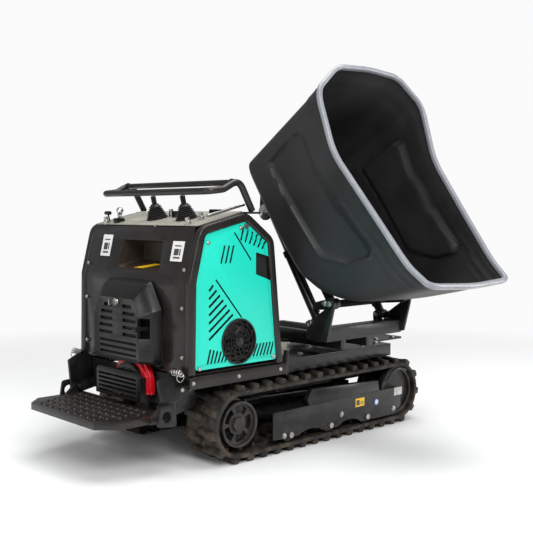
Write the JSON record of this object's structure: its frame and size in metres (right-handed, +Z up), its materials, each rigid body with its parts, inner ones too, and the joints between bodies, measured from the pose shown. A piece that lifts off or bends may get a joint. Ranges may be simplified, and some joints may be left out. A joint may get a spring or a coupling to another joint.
{
  "type": "power wheelbarrow",
  "caption": "Walk-behind tracked mini dumper with a rear engine cabinet, ride-on platform and a plastic skip that swivels and tips on hydraulic cylinders.",
  "frame": {"origin": "On the ground directly under the skip's swivel axis, midway between the two tracks.", "axes": "+X points the way the machine drives, +Y to its left and +Z up; the swivel axis is vertical through the origin."},
  "size_m": [1.711, 1.4051, 1.5526],
  "materials": {
    "frame_paint": "satin dark grey brown paint",
    "teal_paint": "smooth teal paint",
    "black_paint": "satin black paint",
    "cast_black": "painted casting",
    "steel": "plated steel",
    "chrome_rod": "hard chrome",
    "track_rubber": "moulded rubber",
    "boot_rubber": "soft rubber",
    "tub_plastic": "grained moulded plastic",
    "rim_plastic": "pale grey trim",
    "black_plastic": "fine grained plastic",
    "brown_plastic": "moulded plastic",
    "red_plastic": "gloss red",
    "console_paint": "satin light grey paint",
    "engine_metal": "cast"
  },
  "bodies": {
    "chassis": {"chassis_frame": "black_paint", "deck_plate": "black_paint", "side_rails": "black_paint", "rear_carrier": "black_paint", "track_frame_right": "black_paint", "track_frame_left": "black_paint", "track_guards": "black_paint", "track_belt_right": "track_rubber", "track_belt_left": "track_rubber", "drive_motors": "cast_black", "idler_tensioners": "steel", "frame_bolts": "steel", "side_frame_right": "frame_paint", "side_frame_left": "frame_paint", "side_panel_right": "teal_paint", "side_panel_left": "teal_paint", "rear_panel": "frame_paint", "rear_recess": "brown_plastic", "console_top": "console_paint", "front_cover": "black_paint", "engine_shroud": "black_plastic", "lower_grille": "black_plastic", "recoil_housing": "red_plastic", "engine_block": "engine_metal", "muffler": "steel", "fuel_tank": "black_plastic", "hydraulic_tank": "black_plastic", "hydraulic_pump": "cast_black", "oil_cooler": "engine_metal", "fan_guard": "black_plastic", "handrail": "frame_paint", "lever_boots": "boot_rubber", "slewing_ring": "steel"},
    "latch_knob_right": {"latch_knob_right": "steel"},
    "latch_knob_left": {"latch_knob_left": "steel"},
    "cooling_fan": {"cooling_fan": "black_plastic"},
    "ignition_key": {"ignition_key": "steel"},
    "choke_lever": {"choke_lever": "black_plastic"},
    "drive_lever_right": {"drive_lever_right": "black_plastic"},
    "drive_lever_left": {"drive_lever_left": "black_plastic"},
    "tip_lever": {"tip_lever": "chrome_rod"},
    "throttle_lever": {"throttle_lever": "black_plastic"},
    "platform": {"platform": "frame_paint"},
    "sprocket_right": {"sprocket_right": "cast_black"},
    "idler_right": {"idler_right": "cast_black"},
    "roller_right_1": {"roller_right_1": "cast_black"},
    "roller_right_2": {"roller_right_2": "cast_black"},
    "roller_right_3": {"roller_right_3": "cast_black"},
    "sprocket_left": {"sprocket_left": "cast_black"},
    "idler_left": {"idler_left": "cast_black"},
    "roller_left_1": {"roller_left_1": "cast_black"},
    "roller_left_2": {"roller_left_2": "cast_black"},
    "roller_left_3": {"roller_left_3": "cast_black"},
    "turntable": {"turntable": "black_paint", "pivot_pins": "steel"},
    "ram_barrels": {"ram_barrels": "black_paint"},
    "ram_rods": {"ram_rods": "chrome_rod"},
    "skip": {"tipping_frame": "black_paint", "skip_tub": "tub_plastic", "skip_rim": "rim_plastic"}
  },
  "joints": [
    {"name": "swivel", "type": "hinge", "parent": "chassis", "child": "turntable", "pos_m": [0, 0, 0.36], "axis": [0, 0, 1], "range_deg": [0, 180]},
    {"name": "tip", "type": "hinge", "parent": "turntable", "child": "skip", "pos_m": [0, -0.496, 0.59], "axis": [1, 0, 0], "range_deg": [-55, 0]},
    {"name": "ram_pivot", "type": "hinge", "parent": "turntable", "child": "ram_barrels", "pos_m": [0.204, -0.39, 0.508], "axis": [1, 0, 0], "range_deg": [-62, 2]},
    {"name": "ram_stroke", "type": "slide", "parent": "ram_barrels", "child": "ram_rods", "axis": [0, 0.5398, 0.8418], "range_m": [-0.12, 0.002]},
    {"name": "platform_fold", "type": "hinge", "parent": "chassis", "child": "platform", "pos_m": [-0.912, 0, 0.236], "axis": [0, 1, 0], "range_deg": [0, 85]},
    {"name": "sprocket_spin_right", "type": "hinge", "parent": "chassis", "child": "sprocket_right", "pos_m": [-0.6215, -0.305, 0.148], "axis": [0, 1, 0], "continuous": true},
    {"name": "idler_spin_right", "type": "hinge", "parent": "chassis", "child": "idler_right", "pos_m": [0.3335, -0.305, 0.148], "axis": [0, 1, 0], "continuous": true},
    {"name": "roller_spin_right_1", "type": "hinge", "parent": "chassis", "child": "roller_right_1", "pos_m": [-0.36365, -0.305, 0.06625], "axis": [0, 1, 0], "continuous": true},
    {"name": "roller_spin_right_2", "type": "hinge", "parent": "chassis", "child": "roller_right_2", "pos_m": [-0.12776, -0.305, 0.06625], "axis": [0, 1, 0], "continuous": true},
    {"name": "roller_spin_right_3", "type": "hinge", "parent": "chassis", "child": "roller_right_3", "pos_m": [0.10812, -0.305, 0.06625], "axis": [0, 1, 0], "continuous": true},
    {"name": "sprocket_spin_left", "type": "hinge", "parent": "chassis", "child": "sprocket_left", "pos_m": [-0.6215, 0.305, 0.148], "axis": [0, 1, 0], "continuous": true},
    {"name": "idler_spin_left", "type": "hinge", "parent": "chassis", "child": "idler_left", "pos_m": [0.3335, 0.305, 0.148], "axis": [0, 1, 0], "continuous": true},
    {"name": "roller_spin_left_1", "type": "hinge", "parent": "chassis", "child": "roller_left_1", "pos_m": [-0.36365, 0.305, 0.06625], "axis": [0, 1, 0], "continuous": true},
    {"name": "roller_spin_left_2", "type": "hinge", "parent": "chassis", "child": "roller_left_2", "pos_m": [-0.12776, 0.305, 0.06625], "axis": [0, 1, 0], "continuous": true},
    {"name": "roller_spin_left_3", "type": "hinge", "parent": "chassis", "child": "roller_left_3", "pos_m": [0.10812, 0.305, 0.06625], "axis": [0, 1, 0], "continuous": true},
    {"name": "fan_spin", "type": "hinge", "parent": "chassis", "child": "cooling_fan", "pos_m": [-0.614, -0.338, 0.463], "axis": [0, 1, 0], "continuous": true},
    {"name": "key_turn", "type": "hinge", "parent": "chassis", "child": "ignition_key", "pos_m": [-0.93, 0.005, 0.606], "axis": [1, 0, 0], "range_deg": [0, 60]},
    {"name": "choke_move", "type": "hinge", "parent": "chassis", "child": "choke_lever", "pos_m": [-0.898, -0.165, 0.516], "axis": [0, 1, 0], "range_deg": [-20, 20]},
    {"name": "drive_lever_right_tilt", "type": "hinge", "parent": "chassis", "child": "drive_lever_right", "pos_m": [-0.70055, -0.152, 0.96932], "axis": [0, 1, 0], "range_deg": [-15, 15], "stiffness_Nm_per_rad": 4},
    {"name": "drive_lever_left_tilt", "type": "hinge", "parent": "chassis", "child": "drive_lever_left", "pos_m": [-0.70055, 0.038, 0.96932], "axis": [0, 1, 0], "range_deg": [-15, 15], "stiffness_Nm_per_rad": 4},
    {"name": "tip_lever_tilt", "type": "hinge", "parent": "chassis", "child": "tip_lever", "pos_m": [-0.74, 0.215, 0.91351], "axis": [0, 1, 0], "range_deg": [-15, 15], "stiffness_Nm_per_rad": 2},
    {"name": "throttle_lever_tilt", "type": "hinge", "parent": "chassis", "child": "throttle_lever", "pos_m": [-0.75, 0.3, 0.9111], "axis": [0, 1, 0], "range_deg": [-25, 25]},
    {"name": "latch_right_turn", "type": "hinge", "parent": "chassis", "child": "latch_knob_right", "pos_m": [-0.578, -0.36, 0.898], "axis": [0, 1, 0], "range_deg": [0, 90]},
    {"name": "latch_left_turn", "type": "hinge", "parent": "chassis", "child": "latch_knob_left", "pos_m": [-0.578, 0.36, 0.898], "axis": [0, 1, 0], "range_deg": [0, 90]}
  ],
  "couplings": [
    {"joint": "ram_pivot", "follows": "tip", "ratio": 1.09},
    {"joint": "ram_stroke", "follows": "tip", "m_per_rad": 0.121},
    {"joint": "idler_spin_right", "follows": "sprocket_spin_right", "ratio": 1},
    {"joint": "roller_spin_right_1", "follows": "sprocket_spin_right", "ratio": 4},
    {"joint": "roller_spin_right_2", "follows": "sprocket_spin_right", "ratio": 4},
    {"joint": "roller_spin_right_3", "follows": "sprocket_spin_right", "ratio": 4},
    {"joint": "idler_spin_left", "follows": "sprocket_spin_left", "ratio": 1},
    {"joint": "roller_spin_left_1", "follows": "sprocket_spin_left", "ratio": 4},
    {"joint": "roller_spin_left_2", "follows": "sprocket_spin_left", "ratio": 4},
    {"joint": "roller_spin_left_3", "follows": "sprocket_spin_left", "ratio": 4}
  ]
}
